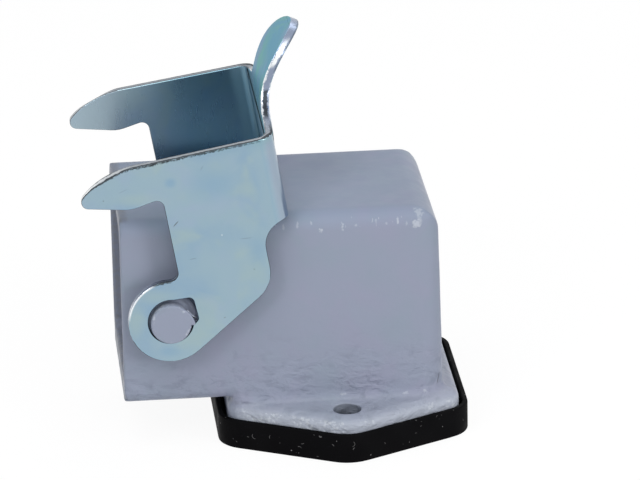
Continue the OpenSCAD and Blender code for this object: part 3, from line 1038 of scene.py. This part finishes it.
@dataclass
class Lever(EdgedSolid):
    """Stamped and bent lever of one plated sheet."""

    node: Node = Node.LEVER
    body: Body = Body.LEVER
    slot: Slot = Slot.ZINC
    edge_round: float = 0.12
    segments: int = 3
    sheet: float = 1.0
    half_width: float = 14.9
    splay: float = 1.8
    web_outer: float = 16.2
    bend: float = 1.9
    curl_from: float = 18.1
    curl_radius: float = 12.9
    tab_inset: float = 3.5
    eye_arc: Span = (4.9, 5.2)
    eye_arc_start: Span = (-0.9, 0.6)
    crown_span: Span = (-7.128, -0.814)
    crown_rise: Span = (17.438, 19.9)
    crown_slope: Span = (0.9, 0.08)
    crown_dip: float = 0.30
    crown_cuts: tuple[tuple[float, int], ...] = ((2.0, 11), (0.5, 2))
    crown_slack: float = 0.05
    same_depth: float = 0.2
    face_share: float = 0.7
    highlight_gain: float = 2.2
    highlight_loss: float = 0.15
    tab_rim: Colour = (0.52, 0.74, 0.80)

    def local(self, point: Vector) -> Vector:
        """Turns a place in metres into the lever's own square frame in millimetres."""
        return TURNED @ (point / MM - Vector(PIVOT))

    def sheet_at(self, place: Vector) -> tuple[float, Vector]:
        """Finds where a place lies in the thickness of the sheet.

        Args:
            place: Place in the lever's own frame, in millimetres.

        Returns:
            Depth from the outer face, from 0 to 1, and the sheet's normal there.
        """
        lean = math.tan(math.radians(self.splay))
        side = 1.0 if place.y >= 0 else -1.0
        middle = self.half_width - self.web_outer * lean - self.bend
        if place.z > self.curl_from and abs(place.y) < middle:
            centre = Vector((self.web_outer - self.sheet + self.curl_radius, 0.0, self.curl_from))
            spoke = Vector((place.x - centre.x, 0.0, place.z - centre.z))
            depth = (spoke.length - (self.curl_radius - self.sheet)) / self.sheet
            return depth, spoke.normalized()
        if abs(place.y) < middle:
            return (self.web_outer - place.x) / self.sheet, Vector((1.0, 0.0, 0.0))
        corner = Vector((self.web_outer - self.bend, side * (middle + self.bend * lean), 0.0))
        if place.x > corner.x:
            spoke = Vector((place.x - corner.x, place.y - corner.y, 0.0))
            return (self.bend - spoke.length) / self.sheet, spoke.normalized()
        outer = self.half_width - place.x * lean
        return (outer - abs(place.y)) / self.sheet, Vector((lean, side, 0.0)).normalized()

    def crown_at(self, reach: float, depth: float) -> float:
        """Gives the height of a hook's crown, which stamping leaves lower at the outer face.

        Args:
            reach: Place along the lever's own first axis, in millimetres.
            depth: Depth from the outer face, from 0 to 1.

        Returns:
            The height in the lever's own frame, in millimetres.
        """
        low, high = self.crown_span
        share = (reach - low) / (high - low)
        rest = 1.0 - share
        tip, top = self.crown_rise
        ends = (1.0 + 2.0 * share) * rest**2 * tip + (3.0 - 2.0 * share) * share**2 * top
        leans = share * rest**2 * self.crown_slope[0] - share**2 * rest * self.crown_slope[1]
        dip = self.crown_dip * (1.0 - depth) * math.sin(math.pi * share) ** 2
        return ends + leans * (high - low) - dip

    def on_crown(self, edge: bmesh.types.BMEdge) -> bool:
        """Tells whether an edge runs along the crown of a hook.

        Args:
            edge: Edge of the lever.

        Returns:
            True for an edge along a crown, False for one across it or elsewhere.
        """
        ends = [self.local(vert.co) for vert in edge.verts]
        low, high = self.crown_span
        least = self.crown_rise[0] - self.crown_slack
        slack = self.crown_slack
        inside = all(low - slack < end.x < high + slack and end.z > least for end in ends)
        first, last = (self.sheet_at(end)[0] for end in ends)
        return inside and abs(first - last) < self.same_depth

    def bow_crowns(self, bm: bmesh.types.BMesh) -> None:
        """Bows the upper edge of both hooks into a full curve.

        Args:
            bm: Copy of the lever with its flat faces joined.
        """
        for least, cuts in self.crown_cuts:
            along = [e for e in bm.edges if e.calc_length() > least * MM and self.on_crown(e)]
            bmesh.ops.subdivide_edges(bm, edges=along, cuts=cuts)
        up = TURNED.transposed() @ Vector((0.0, 0.0, 1.0))
        low, high = self.crown_span
        for vert in bm.verts:
            place = self.local(vert.co)
            if low < place.x < high and place.z > self.crown_rise[0] - self.crown_slack:
                depth = max(0.0, min(1.0, self.sheet_at(place)[0]))
                vert.co += up * (self.crown_at(place.x, depth) - place.z) * MM
        bm.normal_update()

    def on_tab(self, place: Vector) -> bool:
        """Tells whether a place in the lever's own frame is on the thumb tab."""
        return place.z > self.curl_from and abs(place.y) < self.half_width - self.tab_inset

    def on_eye_arc(self, place: Vector) -> bool:
        """Tells whether a place is on the arc round an eye that is painted bright and has no torn band.

        Args:
            place: Place in the lever's own frame, in millimetres.

        Returns:
            True for a place on the arc.
        """
        near, far = self.eye_arc
        ahead, above = self.eye_arc_start
        return near < math.hypot(place.x, place.z) < far and place.x < ahead and place.z > above

    def highlight_at(self, place: Vector, cut: Vector) -> float:
        """Tells how strong the painted highlight on the cut edge is at a place, by which way the edge faces.

        Args:
            place: Place in the lever's own frame, in millimetres.
            cut: Sum of the cut faces' normals there.

        Returns:
            1 for a full painted highlight, 0 for grey or for the tab, whose edge the material marks itself.
        """
        if self.on_tab(place) or cut.length == 0:
            return 0.0
        return max(0.0, min(1.0, -self.highlight_gain * cut.normalized().x - self.highlight_loss))

    def dress(self, bm: bmesh.types.BMesh) -> list[bpy.types.Material]:
        """Gives each face its material, and each point what the materials ask of it.

        Args:
            bm: Lever with its final shape.

        Returns:
            The materials in the order of the faces' indices.
        """
        for face in bm.faces:
            place = self.local(face.calc_center_median())
            turned = abs((TURNED @ face.normal).dot(self.sheet_at(place)[1]))
            plated = Skin.TAB if self.on_tab(place) else Skin.PLATED
            face.material_index = plated if turned > self.face_share else Skin.CUT
        names = ("sheet_depth", "edge_highlight", "edge_tear")
        for name in names:
            bm.verts.layers.float.new(name)
        depth, highlight, tear = (bm.verts.layers.float[name] for name in names)
        for vert in bm.verts:
            place = self.local(vert.co)
            cuts = [TURNED @ f.normal for f in vert.link_faces if f.material_index == Skin.CUT]
            vert[depth] = self.sheet_at(place)[0]
            # Painted highlight on the cut edge, by which way it faces.
            vert[highlight] = self.highlight_at(place, sum(cuts, Vector()))
            vert[tear] = 0.0 if self.on_tab(place) or self.on_eye_arc(place) else 1.0
        tab = BlueZinc(name="tab_zinc", rim=self.tab_rim)
        return [finish.material() for finish in (BlueZinc(), ShearedEdge(), tab)]

    def build(self) -> bpy.types.Object:
        """Builds and dresses the lever.

        Returns:
            The piece.
        """
        bm = self.start()
        self.join_flats(bm)
        self.bow_crowns(bm)
        self.mark_edges(bm)
        return self.round_edges(self.settle(bm, self.dress(bm)))


@dataclass
class Gasket(EdgedSolid):
    """Rubber gasket with a rim round the flange."""

    node: Node = Node.GASKET
    body: Body = Body.HOUSING
    slot: Slot = Slot.RUBBER

    def build(self) -> bpy.types.Object:
        """Builds and dresses the gasket.

        Returns:
            The piece.
        """
        bm = self.start()
        self.join_flats(bm)
        self.mark_edges(bm)
        return self.round_edges(self.settle(bm, [BlackRubber().material()]))


@dataclass(frozen=True)
class Lamp:
    """A soft round lamp that faces the part, with lengths in metres and its power in watts."""

    name: str
    place: Spot
    size: float
    power: float
    aim: Spot = (0.0, 0.0, 0.02)

    def hang(self) -> None:
        """Hangs the lamp in the scene."""
        data = bpy.data.lights.new(self.name, "AREA")
        data.shape = "DISK"
        data.size = self.size
        data.energy = self.power
        lamp = bpy.data.objects.new(self.name, data)
        lamp.location = self.place
        lamp.rotation_mode = "QUATERNION"
        lamp.rotation_quaternion = (Vector(self.aim) - Vector(self.place)).to_track_quat("-Z", "Y")
        bpy.context.scene.collection.objects.link(lamp)


@dataclass
class Studio:
    """Pale floor, white surround and soft lamps."""

    floor_half: float = 1.2
    floor_colour: Colour = (0.93, 0.93, 0.94)
    glow: float = 1.03
    glow_share: float = 0.9
    ambient: float = 0.295
    lamps: tuple[Lamp, ...] = (
        Lamp("top_lamp", (-0.22, -0.20, 0.62), 0.30, 0.75),
        Lamp("left_lamp", (-0.75, -0.65, 0.25), 0.50, 0.55),
        Lamp("right_lamp", (0.70, -0.70, 0.26), 0.36, 2.75),
        Lamp("front_lamp", (0.12, -0.55, 0.72), 0.90, 2.45),
        Lamp("back_lamp", (0.30, 0.55, 0.74), 0.50, 1.1),
        Lamp("key_lamp", (-0.45, -0.62, 0.50), 0.20, 1.0),
    )

    def seen_rays(self, tree: bpy.types.NodeTree) -> Socket:
        """Marks the rays that show a thing to the eye, straight or by way of gloss or glass.

        Args:
            tree: Node tree that gets the nodes.

        Returns:
            1 for such a ray, 0 for one that only lights.
        """
        path = tree.nodes.new("ShaderNodeLightPath")
        seen = path.outputs["Is Camera Ray"]
        for kind in ("Is Glossy Ray", "Is Transmission Ray"):
            either = tree.nodes.new("ShaderNodeMath")
            either.operation = "MAXIMUM"
            tree.links.new(seen, either.inputs[0])
            tree.links.new(path.outputs[kind], either.inputs[1])
            seen = either.outputs[0]
        return seen

    def floor(self) -> None:
        """Lays the pale floor."""
        bm = bmesh.new()
        bmesh.ops.create_grid(bm, x_segments=4, y_segments=4, size=self.floor_half)
        mesh = bpy.data.meshes.new("studio_floor")
        bm.to_mesh(mesh)
        bm.free()
        bench = NodeBench("studio_floor")
        bench.finish(Base_Color=(*self.floor_colour, 1.0), Roughness=0.9, Specular_IOR_Level=0.1)
        glow = bench.make("Emission", {"Strength": self.glow}).outputs["Emission"]
        share = bench.times(self.seen_rays(bench.tree), self.glow_share)
        mix = bench.make("MixShader", {"Fac": share, 1: bench.shader.outputs["BSDF"], 2: glow})
        bench.feed(bench.output.inputs["Surface"], mix.outputs["Shader"])
        mesh.materials.append(bench.material)
        slab = bpy.data.objects.new("studio_floor", mesh)
        bpy.context.scene.collection.objects.link(slab)

    def surround(self) -> None:
        """Sets the world: white to the eye and to gloss, softer as a light."""
        world = bpy.data.worlds.new("studio_surround")
        bpy.context.scene.world = world
        world.use_nodes = True
        tree = world.node_tree
        sky = tree.nodes["Background"]
        sky.inputs["Color"].default_value = (1.0, 1.0, 1.0, 1.0)
        strength = tree.nodes.new("ShaderNodeMapRange")
        strength.inputs["To Min"].default_value = self.ambient
        tree.links.new(self.seen_rays(tree), strength.inputs["Value"])
        tree.links.new(strength.outputs["Result"], sky.inputs["Strength"])

    def build(self) -> None:
        """Builds the whole studio."""
        self.floor()
        self.surround()
        for lamp in self.lamps:
            lamp.hang()


@dataclass
class PhotoCamera:
    """Camera that stands where the photograph was taken from."""

    azimuth: float = -4.810
    elevation: float = 20.469
    roll: float = -1.162
    lens: float = 269.05
    sensor: float = 36.0
    distance: float = 0.580
    target: Spot = (-0.004, 0.0, 0.020)
    shift: Span = (0.03086, 0.01905)
    clip: Span = (0.01, 50.0)

    def build(self) -> None:
        """Makes the camera and sets it as the scene's."""
        a, e, r = (math.radians(v) for v in (self.azimuth, self.elevation, self.roll))
        back = Vector((math.sin(a) * math.cos(e), -math.cos(a) * math.cos(e), math.sin(e)))
        right = Vector((math.cos(a), math.sin(a), 0.0))
        up = back.cross(right)
        across = right * math.cos(r) + up * math.sin(r)
        above = up * math.cos(r) - right * math.sin(r)
        data = bpy.data.cameras.new("photo_camera")
        data.sensor_width = self.sensor
        data.lens = self.lens
        data.shift_x, data.shift_y = self.shift
        data.clip_start, data.clip_end = self.clip
        camera = bpy.data.objects.new("photo_camera", data)
        place = Vector(self.target) + back * self.distance
        axes = Matrix((across, above, back)).transposed().to_4x4()
        camera.matrix_world = Matrix.Translation(place) @ axes
        bpy.context.scene.collection.objects.link(camera)
        bpy.context.scene.camera = camera


def main() -> None:
    """Builds the camera, the studio and every piece."""
    logging.basicConfig(level=logging.INFO)
    bpy.context.scene.view_settings.view_transform = "Standard"
    PhotoCamera().build()
    Studio().build()
    for maker in (Housing(), PegEnds(), Lever(), Gasket()):
        piece = maker.build()
        LOG.info("%s rides on %s", piece.name, maker.body.value)


if __name__ == "__main__":
    main()
